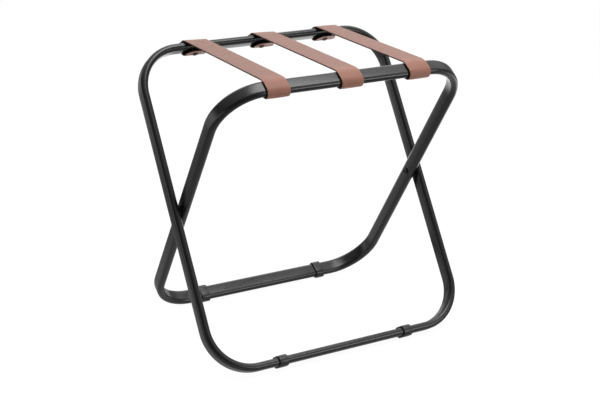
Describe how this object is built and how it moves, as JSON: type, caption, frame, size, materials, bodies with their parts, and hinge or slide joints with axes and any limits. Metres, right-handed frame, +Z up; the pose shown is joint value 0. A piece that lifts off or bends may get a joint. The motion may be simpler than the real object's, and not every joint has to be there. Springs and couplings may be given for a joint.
{
  "type": "folding luggage bench",
  "caption": "Folding luggage bench: crossed frames of black flat-oval tube on a pivot, with brown leather straps across the top rails and black sleeve feet.",
  "frame": {"origin": "on the floor, under the middle of the bench", "axes": "+X along the rails, +Y from the front bottom rail towards the back, +Z up"},
  "size_m": [0.548, 0.3806, 0.5515],
  "materials": {
    "black_powder_coat": "satin black powder coat on steel tube",
    "black_steel": "black oxide steel",
    "zinc_steel": "bright zinc plate",
    "black_nylon": "matt black nylon",
    "black_rubber": "satin black rubber",
    "brown_leather": "fine-grained brown leather with a black lining and black edges"
  },
  "bodies": {
    "outer": {"outer_frame": "black_powder_coat", "pivot_bolt_left": "black_steel", "pivot_bolt_right": "black_steel", "pivot_washer_left": "black_nylon", "pivot_washer_right": "black_nylon", "pivot_nut_left": "zinc_steel", "pivot_nut_right": "zinc_steel", "foot_front_left": "black_rubber", "foot_front_right": "black_rubber", "strap_left": "brown_leather", "strap_middle": "brown_leather", "strap_right": "brown_leather", "snap_stud_back_left": "zinc_steel", "snap_stud_back_middle": "zinc_steel", "snap_stud_back_right": "zinc_steel", "snap_socket_back_left": "zinc_steel", "snap_socket_back_middle": "zinc_steel", "snap_socket_back_right": "zinc_steel", "snap_cap_back_left": "black_steel", "snap_cap_back_middle": "black_steel", "snap_cap_back_right": "black_steel"},
    "inner": {"inner_frame": "black_powder_coat", "pivot_bush_left": "black_nylon", "pivot_bush_right": "black_nylon", "foot_back_left": "black_rubber", "foot_back_right": "black_rubber", "snap_stud_front_left": "zinc_steel", "snap_stud_front_middle": "zinc_steel", "snap_stud_front_right": "zinc_steel", "snap_socket_front_left": "zinc_steel", "snap_socket_front_middle": "zinc_steel", "snap_socket_front_right": "zinc_steel", "snap_cap_front_left": "black_steel", "snap_cap_front_middle": "black_steel", "snap_cap_front_right": "black_steel"}
  },
  "joints": [
    {"name": "fold", "type": "hinge", "parent": "outer", "child": "inner", "pos_m": [0, 0, 0.27516], "axis": [-1, 0, 0], "range_deg": [0, 60], "deforming": ["strap_left", "strap_middle", "strap_right"]}
  ]
}
